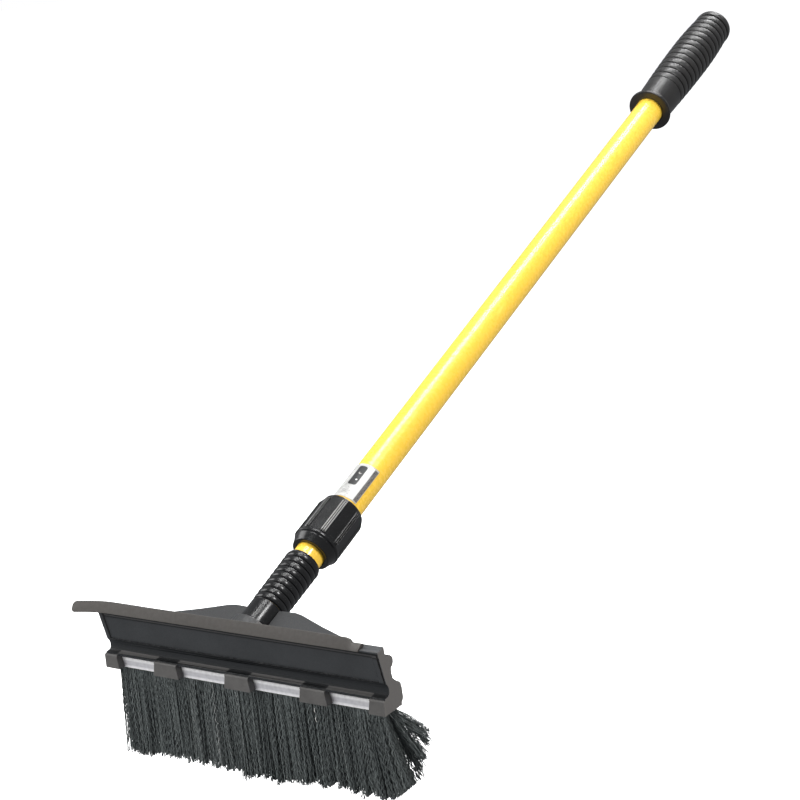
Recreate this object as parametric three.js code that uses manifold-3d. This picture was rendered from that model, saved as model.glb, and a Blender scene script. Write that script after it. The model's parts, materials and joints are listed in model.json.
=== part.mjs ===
// Snow broom: a strip brush and a squeegee on a moulded head, with a telescopic pole and a twist lock.
// Units are millimetres. +Z is up, the bristles point down, the head runs along X and the pole rises
// towards +Y. The origin is at the middle of the hand grip, on the pole's axis.

import * as THREE from "three";
import { mergeVertices } from "three/addons/utils/BufferGeometryUtils.js";
import Module from "manifold-3d";

const wasm = await Module();
wasm.setup();

// ---- Driving dimensions ------------------------------------------------------------------------

const GAP = 0.3; // between pieces that touch
const SIDES = 32; // sides of a round piece
const SCREW_SIDES = 12;

// The pole's own frame has +Z along its axis, with zero where the axis would leave the head's front.
const POLE_TILT = THREE.MathUtils.degToRad(21.7); // above the horizontal
const POLE_FOOT_Y = -5.8;
const POLE_FOOT_Z = 14.5;

const OUTER_R = 12.7; // one inch tube
const OUTER_BORE_R = 11.8;
const OUTER_START = 123.6;
const OUTER_END = 880;
const INNER_R = 11.3;
const INNER_BORE_R = 10.4;
const INNER_START = 22;
const INNER_END = 700;

const SOCKET_R = 13.1;
const SOCKET_START = 19;
const SOCKET_END = 50.5;
const SLEEVE_R = 14;
const SLEEVE_START = 50.9;
const SLEEVE_END = 100.3;
const SLEEVE_RIBS = 9;

const COLLAR_START = 109.5;
const COLLAR_END = 157.1;
const COLLAR_R = 18.5;
const COLLAR_RIM_R = 15.1;
const COLLAR_FACETS = 8;
const COLLAR_FIRST_RIDGES = THREE.MathUtils.degToRad(-52.7);

const GRIP_START = 728;
const GRIP_END = 892;
const GRIP_MIDDLE = 808;
const GRIP_FLANGE_R = 20.4;
const GRIP_NECK_R = 17;
const GRIP_MAX_R = 20;
const GRIP_END_R = 17.8;
const GRIP_RIBS = 14;
const GRIP_NECK_END = GRIP_START + 32.5;
const GRIP_CAP = GRIP_END - 12; // where the smooth cap starts

const LABEL_START = 159.5;
const LABEL_END = 197;
const LABEL_FROM = THREE.MathUtils.degToRad(-192);
const LABEL_TO = THREE.MathUtils.degToRad(-23.4);

const HEAD_HALF = 129.5; // half of the head's length
const PANEL_BOTTOM = [3.5, 11.5];
const PANEL_TOP = [-0.4, 34];
const PANEL_LEFT = -126.1;
const PANEL_RIGHT = 123.9;
const END_GROOVE = [127.5, 128.8]; // beyond the upright rib at the right end
const PANEL_TOP_RIM = 1.3;
const PANEL_RECESS = 1.1;
const HOLDER_BOTTOM = -9.2;
const LIP_FRONT = 0;
const LIP_TOP = 2.2;
const TAB_FRONT = -2;
const TAB_TOP = 1.2;
const TAB_PITCH = 68.5;
const TAB_HALF = 10.5;
const TAB_SPREAD = 1.9; // how much wider a tab is at its foot, on each side
const END_TAB = 12;
const WINDOW_TOP = 0.2;
const CHANNEL = { front: 3.5, back: 13.5, bottom: -9.8, top: -2, half: 124, wall: 1 };
const WEB_HALF_THICKNESS = 2.5;
const HUB_R = 16.5;
const HUB_RING_END = 30;
const HUB_END = 46;
const BEAD = { y: 9.5, z: 24.5, r: 4.8 };
const GROOVE = { front: 2.6, back: 5.2, bottom: 29, right: 114.5 };
const BLADE_LEFT = -157.5;
const BLADE_RIGHT = 114.2;
const BRISTLE_TIP = -79;

// ---- Solids ------------------------------------------------------------------------------------

function bare(geometry) {
  geometry.deleteAttribute("normal");
  geometry.deleteAttribute("uv");
  return mergeVertices(geometry, 1e-4);
}

function signedVolume(geometry) {
  const p = geometry.attributes.position;
  const index = geometry.index;
  const corner = [new THREE.Vector3(), new THREE.Vector3(), new THREE.Vector3()];
  let volume = 0;
  for (let i = 0; i < index.count; i += 3) {
    corner.forEach((c, k) => c.fromBufferAttribute(p, index.getX(i + k)));
    volume += corner[0].dot(corner[1].cross(corner[2])) / 6;
  }
  return volume;
}

function facingOut(geometry) {
  const closed = bare(geometry);
  if (signedVolume(closed) < 0) {
    const index = closed.index;
    for (let i = 0; i < index.count; i += 3) {
      const first = index.getX(i);
      index.setX(i, index.getX(i + 2));
      index.setX(i + 2, first);
    }
  }
  return closed;
}

function solid(geometry) {
  const closed = facingOut(geometry);
  const vertProperties = new Float32Array(closed.attributes.position.array);
  const triVerts = new Uint32Array(closed.index.array);
  return new wasm.Manifold(new wasm.Mesh({ numProp: 3, vertProperties, triVerts }));
}

function geometryOf(manifold) {
  const mesh = manifold.getMesh();
  const geometry = new THREE.BufferGeometry();
  geometry.setAttribute("position", new THREE.BufferAttribute(mesh.vertProperties, 3));
  geometry.setIndex(new THREE.BufferAttribute(mesh.triVerts, 1));
  return geometry;
}

function joined(first, ...others) {
  return others.reduce((whole, other) => whole.add(other), first);
}

function cut(first, ...others) {
  return others.reduce((whole, other) => whole.subtract(other), first);
}

// A closed outline of [radius, z] points turned about Z.
function turned(outline, sides = SIDES) {
  const points = outline.map(([r, z]) => new THREE.Vector2(r, z));
  if (outline[0][0] > 0) {
    points.push(points[0].clone());
  }
  return new THREE.LatheGeometry(points, sides).rotateX(Math.PI / 2);
}

function ring(inner, outer, from, to, sides = SIDES) {
  return turned([[inner, from], [outer, from], [outer, to], [inner, to]], sides);
}

function rod(radius, from, to, sides = SIDES) {
  return turned([[0, from], [radius, from], [radius, to], [0, to]], sides);
}

function box(x0, x1, y0, y1, z0, z1) {
  const geometry = new THREE.BoxGeometry(x1 - x0, y1 - y0, z1 - z0);
  return geometry.translate((x0 + x1) / 2, (y0 + y1) / 2, (z0 + z1) / 2);
}

function outlineShape(points) {
  return new THREE.Shape(points.map(([u, v]) => new THREE.Vector2(u, v)));
}

// An outline of [y, z] points, swept along X.
function sweptAlongX(points, x0, x1) {
  const geometry = new THREE.ExtrudeGeometry(outlineShape(points), { depth: x1 - x0, bevelEnabled: false });
  const axes = new THREE.Matrix4().makeBasis(
    new THREE.Vector3(0, 1, 0),
    new THREE.Vector3(0, 0, 1),
    new THREE.Vector3(1, 0, 0),
  );
  return geometry.applyMatrix4(axes).translate(x0, 0, 0);
}

// An outline of [x, z] points, swept along Y.
function sweptAlongY(points, y0, y1) {
  const geometry = new THREE.ExtrudeGeometry(outlineShape(points), { depth: y1 - y0, bevelEnabled: false });
  return geometry.rotateX(Math.PI / 2).translate(0, y1, 0);
}

function arc(cx, cy, r, from, to, steps) {
  const points = [];
  for (let i = 0; i <= steps; i += 1) {
    const a = THREE.MathUtils.degToRad(from + ((to - from) * i) / steps);
    points.push([cx + r * Math.cos(a), cy + r * Math.sin(a)]);
  }
  return points;
}

// Four-sided sections of [x0, x1, y0, y1, z], joined into one closed solid.
function lofted(sections) {
  const corners = sections.flatMap(([x0, x1, y0, y1, z]) => [x0, y0, z, x1, y0, z, x1, y1, z, x0, y1, z]);
  const index = [0, 2, 1, 0, 3, 2];
  for (let level = 0; level < sections.length - 1; level += 1) {
    for (let k = 0; k < 4; k += 1) {
      const a = level * 4 + k;
      const b = level * 4 + ((k + 1) % 4);
      index.push(a, b, b + 4, a, b + 4, a + 4);
    }
  }
  const top = (sections.length - 1) * 4;
  index.push(top, top + 1, top + 2, top, top + 2, top + 3);
  const geometry = new THREE.BufferGeometry();
  geometry.setAttribute("position", new THREE.Float32BufferAttribute(corners, 3));
  geometry.setIndex(index);
  return facingOut(geometry);
}

// ---- Materials ---------------------------------------------------------------------------------

function material(color, roughness, metalness = 0) {
  return () => new THREE.MeshStandardMaterial({ color, roughness, metalness });
}

const matteBlack = material(0x34383a, 0.6);
const glossBlack = material(0x16181a, 0.25);
const rubber = material(0x58534f, 0.75);
const filament = material(0x2c3031, 0.55);
const yellowPaint = material(0xf7d22a, 0.2, 0.1);
const foil = material(0xd9d9d6, 0.35, 0.5);
const galvanised = material(0xc4c2c0, 0.35, 0.9);
const steel = material(0x8f9294, 0.35, 0.9);
const nylon = material(0xd8d6cc, 0.5);

// ---- Frames ------------------------------------------------------------------------------------

const snowBroom = new THREE.Group();
snowBroom.position.set(
  0,
  -(POLE_FOOT_Y + GRIP_MIDDLE * Math.cos(POLE_TILT)),
  -(POLE_FOOT_Z + GRIP_MIDDLE * Math.sin(POLE_TILT)),
);

const pole = new THREE.Group();
pole.position.set(0, POLE_FOOT_Y, POLE_FOOT_Z);
pole.rotation.x = POLE_TILT - Math.PI / 2;
snowBroom.add(pole);

function addTo(group, name, geometry, makeMaterial) {
  const mesh = new THREE.Mesh(facingOut(geometry), makeMaterial());
  mesh.name = name;
  group.add(mesh);
  return mesh;
}

// A solid given in the pole's frame, moved into the head's frame.
function fromPole(geometry) {
  pole.updateMatrix();
  return geometry.applyMatrix4(pole.matrix);
}

// ---- Fasteners ---------------------------------------------------------------------------------

// A screw along +Z: its tip is at zero and its domed head lies above the given length.
function screw(length, shankR, headR, headHeight) {
  return turned([
    [0, 0],
    [shankR * 0.6, 0],
    [shankR, 1],
    [shankR, length],
    [headR, length],
    [headR, length + headHeight * 0.4],
    [headR * 0.6, length + headHeight],
    [0, length + headHeight],
  ], SCREW_SIDES);
}

const SOCKET_SCREW = { places: [34, 42], shankR: 1.4, headR: 2.9, headHeight: 1.8, tip: 9.6 };
const CHANNEL_SCREW = { places: [-90, 0, 90], shankR: 1.3, headR: 2.6, headHeight: 1.4, z: -5.2, tip: 10.6 };
const RIVET = { place: 145, r: 1.5, from: 11.95, to: 14.8 };

// The hole that a socket screw needs, as a rod across the pole on its lower side.
function socketScrewHole(place) {
  return rod(SOCKET_SCREW.shankR + GAP, SOCKET_SCREW.tip - 1, HUB_R + 1, SCREW_SIDES)
    .rotateX(-Math.PI / 2)
    .translate(0, 0, place);
}

function addSocketScrews() {
  const length = HUB_R + GAP - SOCKET_SCREW.tip;
  SOCKET_SCREW.places.forEach((place, i) => {
    const geometry = screw(length, SOCKET_SCREW.shankR, SOCKET_SCREW.headR, SOCKET_SCREW.headHeight)
      .translate(0, 0, SOCKET_SCREW.tip)
      .rotateX(-Math.PI / 2)
      .translate(0, 0, place);
    addTo(pole, `socket_screw_${i + 1}`, geometry, steel);
  });
}

function channelScrewHole(x, from, to) {
  return rod(CHANNEL_SCREW.shankR + GAP, from, to, SCREW_SIDES)
    .rotateX(-Math.PI / 2)
    .translate(x, 0, CHANNEL_SCREW.z);
}

// ---- Pole --------------------------------------------------------------------------------------

function addOuterTube() {
  const tube = solid(ring(OUTER_BORE_R, OUTER_R, OUTER_START, OUTER_END));
  const hole = rod(RIVET.r + GAP, -OUTER_R - 2, OUTER_R + 2, SCREW_SIDES)
    .rotateY(Math.PI / 2)
    .translate(0, 0, RIVET.place);
  addTo(pole, "outer_tube", geometryOf(cut(tube, solid(hole))), yellowPaint);
}

function addInnerTube() {
  const tube = solid(ring(INNER_BORE_R, INNER_R, INNER_START, INNER_END));
  const holes = SOCKET_SCREW.places.map((place) => solid(socketScrewHole(place)));
  addTo(pole, "inner_tube", geometryOf(cut(tube, ...holes)), yellowPaint);
}

function addTubeFootPlug() {
  const plugEnd = SOCKET_SCREW.places[0] - 4;
  addTo(pole, "tube_foot_plug", rod(INNER_BORE_R - GAP, INNER_START + 0.5, plugEnd), nylon);
}

// A blind bore for the inner tube, with a floor at its lower end.
function addSocket() {
  const bore = INNER_R + GAP;
  const shell = solid(turned([
    [0, SOCKET_START],
    [SOCKET_R - 0.8, SOCKET_START],
    [SOCKET_R, SOCKET_START + 0.8],
    [SOCKET_R, SOCKET_END],
    [bore, SOCKET_END],
    [bore, INNER_START - GAP],
    [0, INNER_START - GAP],
  ]));
  const holes = SOCKET_SCREW.places.map((place) => solid(socketScrewHole(place)));
  addTo(pole, "pole_socket", geometryOf(cut(shell, ...holes)), glossBlack);
}

// Ribs of one radius each, between grooves, from one end of a sleeve to the other.
function ribs(count, from, to, radiusAt, grooveDepth) {
  const pitch = (to - from) / count;
  const points = [];
  for (let i = 0; i < count; i += 1) {
    const start = from + i * pitch;
    points.push([radiusAt(start) - grooveDepth, start + 0.1 * pitch]);
    points.push([radiusAt(start + 0.4 * pitch), start + 0.35 * pitch]);
    points.push([radiusAt(start + 0.8 * pitch), start + 0.8 * pitch]);
  }
  return points;
}

function addRibbedSleeve() {
  const bore = INNER_R + GAP;
  const radiusAt = (z) => SLEEVE_R - 0.6 * (1 - (z - SLEEVE_START) / (SLEEVE_END - SLEEVE_START));
  addTo(pole, "ribbed_sleeve", turned([
    [bore, SLEEVE_START],
    [radiusAt(SLEEVE_START) - 0.9, SLEEVE_START],
    ...ribs(SLEEVE_RIBS, SLEEVE_START + 1, SLEEVE_END - 1, radiusAt, 1.1),
    [SLEEVE_R - 0.8, SLEEVE_END],
    [bore, SLEEVE_END],
  ]), glossBlack);
}

function addLabel() {
  const shape = new THREE.Shape();
  shape.absarc(0, 0, OUTER_R + GAP + 0.2, LABEL_FROM, LABEL_TO, false);
  shape.absarc(0, 0, OUTER_R + GAP, LABEL_TO, LABEL_FROM, true);
  const depth = LABEL_END - LABEL_START;
  const sheet = new THREE.ExtrudeGeometry(shape, { depth, bevelEnabled: false, curveSegments: 16 });
  addTo(pole, "label", sheet.translate(0, 0, LABEL_START), foil);
}

// ---- Twist lock --------------------------------------------------------------------------------

const FINGER_START = COLLAR_START + 4.7;
const FINGER_ROOT = OUTER_START - 3;
const FINGER_TIP_R = 12.9;
const FINGER_ROOT_R = 13.9;
const COLLET_R = 14.9;
const COLLET_BORE_R = INNER_R + GAP;
const CHAMBER_START = COLLAR_START + 3.1;
const CHAMBER_END = COLLAR_START + 9.1;
const CHAMBER_R = 14.6;
const FINGERS = 6;

function fingerRadius(z) {
  const share = (z - FINGER_START) / (FINGER_ROOT - FINGER_START);
  return FINGER_TIP_R + share * (FINGER_ROOT_R - FINGER_TIP_R);
}

function addCollet() {
  const body = solid(turned([
    [COLLET_BORE_R, FINGER_START],
    [FINGER_TIP_R, FINGER_START],
    [FINGER_ROOT_R, FINGER_ROOT],
    [COLLET_R, FINGER_ROOT + 0.8],
    [COLLET_R, COLLAR_END + 0.6],
    [OUTER_R + GAP, COLLAR_END + 0.6],
    [OUTER_R + GAP, OUTER_START - GAP],
    [COLLET_BORE_R, OUTER_START - GAP],
  ]));
  const slots = [];
  for (let i = 0; i < FINGERS; i += 1) {
    const slot = box(9, 16, -0.8, 0.8, FINGER_START - 1, FINGER_ROOT - 1.5);
    slots.push(solid(slot.rotateZ((i * 2 * Math.PI) / FINGERS)));
  }
  const hole = rod(RIVET.r + GAP, -COLLET_R - 1, COLLET_R + 1, SCREW_SIDES)
    .rotateY(Math.PI / 2)
    .translate(0, 0, RIVET.place);
  addTo(pole, "collet", geometryOf(cut(body, ...slots, solid(hole))), nylon);
}

function addColletRivets() {
  [-1, 1].forEach((side, i) => {
    const geometry = rod(RIVET.r, RIVET.from, RIVET.to, SCREW_SIDES)
      .rotateY((side * Math.PI) / 2)
      .translate(0, 0, RIVET.place);
    addTo(pole, `collet_rivet_${i + 1}`, geometry, steel);
  });
}

function addWedgeRing() {
  const start = CHAMBER_START + GAP;
  const end = start + 4;
  const outer = CHAMBER_R - GAP;
  addTo(pole, "wedge_ring", turned([
    [COLLET_BORE_R, start],
    [outer, start],
    [outer, end],
    [fingerRadius(end) + GAP, end],
    [fingerRadius(FINGER_START) + GAP, FINGER_START - GAP],
    [COLLET_BORE_R, FINGER_START - GAP],
  ]), nylon);
}

// The collar's flutes: wide flats, with three fine ridges over each corner.
function flutedOutline() {
  const points = [];
  const flatR = COLLAR_R - 0.7;
  for (let i = 0; i < COLLAR_FACETS; i += 1) {
    const middle = COLLAR_FIRST_RIDGES + (i * 2 * Math.PI) / COLLAR_FACETS;
    for (let k = -1; k <= 1; k += 1) {
      const ridge = middle + k * 0.085;
      points.push([ridge - 0.03, flatR], [ridge - 0.012, COLLAR_R]);
      points.push([ridge + 0.012, COLLAR_R], [ridge + 0.03, flatR]);
    }
  }
  return points.map(([a, r]) => [r * Math.cos(a), r * Math.sin(a)]);
}

function addLockCollar() {
  const bandEnd = COLLAR_START + 15.5;
  const skirt = solid(turned([
    [0, COLLAR_START],
    [COLLAR_RIM_R - 0.8, COLLAR_START],
    [COLLAR_RIM_R, COLLAR_START + 0.8],
    [COLLAR_R - 1.6, COLLAR_START + 6.4],
    [COLLAR_R, COLLAR_START + 7.4],
    [COLLAR_R, bandEnd - 2],
    [COLLAR_R - 1.4, bandEnd],
    [0, bandEnd],
  ]));
  const flutes = new THREE.ExtrudeGeometry(outlineShape(flutedOutline()), {
    depth: COLLAR_END - bandEnd + 2,
    bevelEnabled: false,
  });
  const taper = solid(turned([
    [0, COLLAR_START],
    [COLLAR_R + 1, COLLAR_START],
    [COLLAR_R + 1, COLLAR_END - 5],
    [COLLET_R + 1.4, COLLAR_END],
    [0, COLLAR_END],
  ]));
  const bore = solid(turned([
    [0, COLLAR_START - 1],
    [INNER_R + 0.6, COLLAR_START - 1],
    [INNER_R + 0.6, CHAMBER_START],
    [CHAMBER_R, CHAMBER_START],
    [CHAMBER_R, CHAMBER_END],
    [COLLET_R + GAP, CHAMBER_END],
    [COLLET_R + GAP, COLLAR_END + 1],
    [0, COLLAR_END + 1],
  ]));
  const body = joined(skirt, solid(flutes.translate(0, 0, bandEnd - 2)));
  addTo(pole, "lock_collar", geometryOf(cut(body.intersect(taper), bore)), glossBlack);
}

// ---- Upper end of the pole ---------------------------------------------------------------------

const BUSH_HEAD = INNER_END + GAP;
const RING_GROOVE = { from: BUSH_HEAD + 4, to: BUSH_HEAD + 8, r: 9.6 };

function addGuideBush() {
  addTo(pole, "guide_bush", turned([
    [0, INNER_END - 20],
    [INNER_BORE_R - GAP, INNER_END - 20],
    [INNER_BORE_R - GAP, BUSH_HEAD],
    [OUTER_BORE_R - GAP, BUSH_HEAD],
    [OUTER_BORE_R - GAP, RING_GROOVE.from],
    [RING_GROOVE.r, RING_GROOVE.from],
    [RING_GROOVE.r, RING_GROOVE.to],
    [OUTER_BORE_R - GAP, RING_GROOVE.to],
    [OUTER_BORE_R - GAP, BUSH_HEAD + 12],
    [0, BUSH_HEAD + 12],
  ]), nylon);
}

function addGuideRing() {
  const inner = RING_GROOVE.r + GAP;
  const outer = OUTER_BORE_R - GAP;
  const whole = solid(ring(inner, outer, RING_GROOVE.from + GAP, RING_GROOVE.to - GAP));
  const split = solid(box(0, outer + 1, -1.5, 1.5, RING_GROOVE.from, RING_GROOVE.to));
  addTo(pole, "guide_ring", geometryOf(cut(whole, split)), rubber);
}

function addTubeEndPlug() {
  addTo(pole, "tube_end_plug", turned([
    [0, OUTER_END - 12],
    [OUTER_BORE_R - GAP, OUTER_END - 12],
    [OUTER_BORE_R - GAP, OUTER_END + GAP],
    [OUTER_R - 0.2, OUTER_END + GAP],
    [OUTER_R - 0.2, OUTER_END + 2],
    [0, OUTER_END + 2],
  ]), nylon);
}

// The grip is fullest at about two thirds of its length.
function gripRadius(z) {
  const share = (z - GRIP_START) / (GRIP_END - GRIP_START);
  const swell = Math.sin(Math.PI * Math.min(1, 0.5 * (share / 0.62)));
  const fall = Math.max(0, (share - 0.62) / 0.38);
  return GRIP_NECK_R + (GRIP_MAX_R - GRIP_NECK_R) * swell - (GRIP_MAX_R - GRIP_END_R) * fall * fall;
}

function addHandGrip() {
  const bore = OUTER_R + GAP;
  addTo(pole, "hand_grip", turned([
    [bore, GRIP_START],
    [GRIP_FLANGE_R - 0.6, GRIP_START],
    [GRIP_FLANGE_R, GRIP_START + 1],
    [GRIP_FLANGE_R, GRIP_START + 2.4],
    [GRIP_NECK_R + 0.6, GRIP_START + 5],
    [GRIP_NECK_R, GRIP_START + 8],
    [gripRadius(GRIP_NECK_END), GRIP_NECK_END - 0.5],
    ...ribs(GRIP_RIBS, GRIP_NECK_END, GRIP_CAP, gripRadius, 1.2),
    [GRIP_END_R, GRIP_CAP + 0.5],
    [GRIP_END_R + 0.2, GRIP_CAP + 4],
    [GRIP_END_R - 0.4, GRIP_END - 4.5],
    [GRIP_END_R - 3.8, GRIP_END - 1.8],
    [GRIP_END_R - 11, GRIP_END],
    [0, GRIP_END],
    [0, OUTER_END + 2.5],
    [bore, OUTER_END + 2.5],
  ]), rubber);
}

// ---- Head --------------------------------------------------------------------------------------

function headOutline() {
  return [
    [TAB_FRONT - 0.8, HOLDER_BOTTOM],
    [16.5, HOLDER_BOTTOM],
    ...arc(14, -3.2, 5, -55, 10, 3),
    [19, 2],
    ...arc(13.5, 3.5, 5.4, 20, 75, 3),
    [11.2, 12.5],
    [10.6, 16],
    ...arc(BEAD.y, BEAD.z, BEAD.r, -70, 110, 7),
    [6.9, 31],
    [6.6, 36.6],
    [GROOVE.back, 36.6],
    [GROOVE.front, 35.3],
    [PANEL_TOP[0], 35.2],
    PANEL_TOP,
    PANEL_BOTTOM,
    [4.9, 9.4],
    [5.5, 7],
    [5.3, 4.6],
    [4.5, 3.1],
    [3.2, LIP_TOP + 0.3],
    [LIP_FRONT, LIP_TOP],
    [LIP_FRONT, TAB_TOP + 0.2],
    [TAB_FRONT + 0.5, TAB_TOP],
    [TAB_FRONT, TAB_TOP - 0.8],
  ];
}

// The gaps between the tabs: each shows the brush channel under a thin lip.
function windowCuts() {
  const edges = [-HEAD_HALF + END_TAB, HEAD_HALF - END_TAB];
  [-TAB_PITCH, 0, TAB_PITCH].forEach((tab) => edges.push(tab - TAB_HALF, tab + TAB_HALF));
  edges.sort((a, b) => a - b);
  const cuts = [];
  for (let i = 0; i < edges.length; i += 2) {
    const left = edges[i];
    const right = edges[i + 1];
    const foot = HOLDER_BOTTOM - 1;
    const upTo = (top) => [[left + TAB_SPREAD, foot], [right - TAB_SPREAD, foot], [right, top], [left, top]];
    cuts.push(solid(sweptAlongY(upTo(WINDOW_TOP), -6, CHANNEL.front - 0.2)));
    cuts.push(solid(sweptAlongY(upTo(LIP_TOP + 1), -6, LIP_FRONT)));
  }
  return cuts;
}

function panelRecesses() {
  const slope = Math.atan2(PANEL_BOTTOM[0] - PANEL_TOP[0], PANEL_TOP[1] - PANEL_BOTTOM[1]);
  const height = Math.hypot(PANEL_BOTTOM[0] - PANEL_TOP[0], PANEL_TOP[1] - PANEL_BOTTOM[1]);
  return [[PANEL_LEFT, PANEL_RIGHT], END_GROOVE].map(([left, right]) => {
    const field = box(left, right, -3, PANEL_RECESS, 0, height - PANEL_TOP_RIM);
    return solid(field.rotateX(slope).translate(0, PANEL_BOTTOM[0], PANEL_BOTTOM[1]));
  });
}

// The web behind the head lies in the plane of the pole's axis, wider towards the head.
function webPlate() {
  const side = [[108, 8], [108, 17], [88, 29.5], [79, 34.5], [57, 41], [35, 48.4], [28, 49.8], [10, 49.2]];
  const mirrored = side.map(([x, z]) => [-x, z]).reverse();
  const outline = [...side, ...mirrored];
  return solid(fromPole(sweptAlongY(outline, -WEB_HALF_THICKNESS, WEB_HALF_THICKNESS)));
}

// A full ring round the socket near the head, and a half ring under it further out.
function hub() {
  const whole = solid(rod(HUB_R, 8, HUB_RING_END));
  const cradle = solid(rod(HUB_R, HUB_RING_END - 1, HUB_END));
  const side = HUB_R + 1;
  const upperHalf = solid(box(-side, side, -side, WEB_HALF_THICKNESS, HUB_RING_END, HUB_END + 1));
  const body = joined(whole, cut(cradle, upperHalf));
  return solid(fromPole(geometryOf(body)));
}

// Nothing of the hub may stand out of the panel, or reach down into the brush channel.
function frontAndChannelClearance() {
  const front = sweptAlongX([[-12, -12], [3, -12], [3, 8], [-0.8, 36], [-12, 36]], -30, 30);
  const channel = box(-30, 30, 0, 20, -20, 1);
  return joined(solid(front), solid(channel));
}

function addHeadBody() {
  const profile = solid(sweptAlongX(headOutline(), -HEAD_HALF, HEAD_HALF));
  const groove = solid(box(-HEAD_HALF - 1, GROOVE.right, GROOVE.front, GROOVE.back, GROOVE.bottom, 40));
  const slot = solid(box(
    -CHANNEL.half - GAP,
    CHANNEL.half + GAP,
    CHANNEL.front - GAP,
    CHANNEL.back + GAP,
    HOLDER_BOTTOM - 2,
    CHANNEL.top + GAP,
  ));
  const socketBore = solid(fromPole(rod(SOCKET_R + GAP, SOCKET_START - GAP, HUB_END + 10)));
  const socketHoles = SOCKET_SCREW.places.map((place) => solid(fromPole(socketScrewHole(place))));
  const channelHoles = CHANNEL_SCREW.places.map((x) => solid(channelScrewHole(x, 12, 22)));
  const handleMount = cut(hub(), frontAndChannelClearance());
  const body = joined(profile, webPlate(), handleMount);
  const holes = [socketBore, ...socketHoles, ...channelHoles];
  const cuts = [groove, slot, ...holes, ...windowCuts(), ...panelRecesses()];
  addTo(snowBroom, "head_body", geometryOf(cut(body, ...cuts)), matteBlack);
}

// The blade leans back. Its root fills the groove and its left end overhangs the head.
function addSqueegeeBlade() {
  const lip = solid(sweptAlongX(
    [[-0.8, 35.6], [4.9, 35.6], [4.9, 37.4], [4.3, 41.2], [2.4, 42.2], [-2.6, 34.8], [-0.8, 34.4]],
    BLADE_LEFT,
    BLADE_RIGHT,
  ));
  const outline = [
    ...arc(BLADE_LEFT + 4.2, 38.8, 4.2, 90, 270, 6),
    [BLADE_RIGHT, 34.6],
    [BLADE_RIGHT, 37.6],
    [BLADE_RIGHT - 5, 38],
    ...arc(BLADE_RIGHT - 11.5, 39, 4, 15, 90, 3),
  ];
  const trimmed = lip.intersect(solid(sweptAlongY(outline, -10, 10)));
  const root = solid(sweptAlongX([
    [GROOVE.front + GAP, GROOVE.bottom + GAP],
    [GROOVE.back - GAP, GROOVE.bottom + GAP],
    [GROOVE.back - GAP, 36],
    [GROOVE.front + GAP, 36],
  ], -112, BLADE_RIGHT));
  addTo(snowBroom, "squeegee_blade", geometryOf(joined(trimmed, root)), rubber);
}

function addBrushChannel() {
  const { front, back, bottom, top, half, wall } = CHANNEL;
  const strip = solid(sweptAlongX([
    [front, bottom],
    [front + wall, bottom],
    [front + wall, top - wall],
    [back - wall, top - wall],
    [back - wall, bottom],
    [back, bottom],
    [back, top - 0.6],
    [back - 0.6, top],
    [front + 0.6, top],
    [front, top - 0.6],
  ], -half, half));
  const holes = CHANNEL_SCREW.places.map((x) => solid(channelScrewHole(x, back - wall - 1, back + 1)));
  addTo(snowBroom, "brush_channel", geometryOf(cut(strip, ...holes)), galvanised);
}

function addChannelScrews() {
  const length = 19.2 + GAP - CHANNEL_SCREW.tip;
  CHANNEL_SCREW.places.forEach((x, i) => {
    const geometry = screw(length, CHANNEL_SCREW.shankR, CHANNEL_SCREW.headR, CHANNEL_SCREW.headHeight)
      .translate(0, 0, CHANNEL_SCREW.tip)
      .rotateX(-Math.PI / 2)
      .translate(x, 0, CHANNEL_SCREW.z);
    addTo(snowBroom, `channel_screw_${i + 1}`, geometry, steel);
  });
}

function addCoreWire() {
  const half = CHANNEL.half - 1;
  const wire = rod(0.8, -half, half, SCREW_SIDES).rotateY(Math.PI / 2);
  addTo(snowBroom, "core_wire", wire.translate(0, 7.3, CHANNEL.top - 2.4), steel);
}

// The filaments leave the channel in a narrow row and spread towards their tips.
function addBristles() {
  addTo(snowBroom, "bristles", lofted([
    [-CHANNEL.half + 1, CHANNEL.half - 1, 4.9, 10, -6],
    [-CHANNEL.half + 1, CHANNEL.half - 1, 4.9, 10.2, CHANNEL.bottom - 0.5],
    [-128, 141, 2.5, 15, -32],
    [-131, 139, 0, 18, -60],
    [-131, 134, -1, 19, BRISTLE_TIP],
  ].reverse()), filament);
}

addHeadBody();
addSqueegeeBlade();
addBrushChannel();
addChannelScrews();
addCoreWire();
addBristles();
addSocket();
addSocketScrews();
addInnerTube();
addTubeFootPlug();
addRibbedSleeve();
addGuideBush();
addGuideRing();
addLockCollar();
addWedgeRing();
addCollet();
addColletRivets();
addOuterTube();
addLabel();
addTubeEndPlug();
addHandGrip();

export default snowBroom;
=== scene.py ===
"""Snow broom: strip brush and squeegee on a moulded head, telescopic pole with a twist lock, ribbed grip.

Lengths are given in millimetres and turned into metres when a mesh is made. The head's own frame has X along
the head, Y to the rear and Z up, with its origin at the front edge of the brush holder. A station is a
distance along the pole's axis, counted from the head's front.
"""

import json
import math

import bmesh
import bpy
import numpy as np
from mathutils import Matrix, Vector

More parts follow.
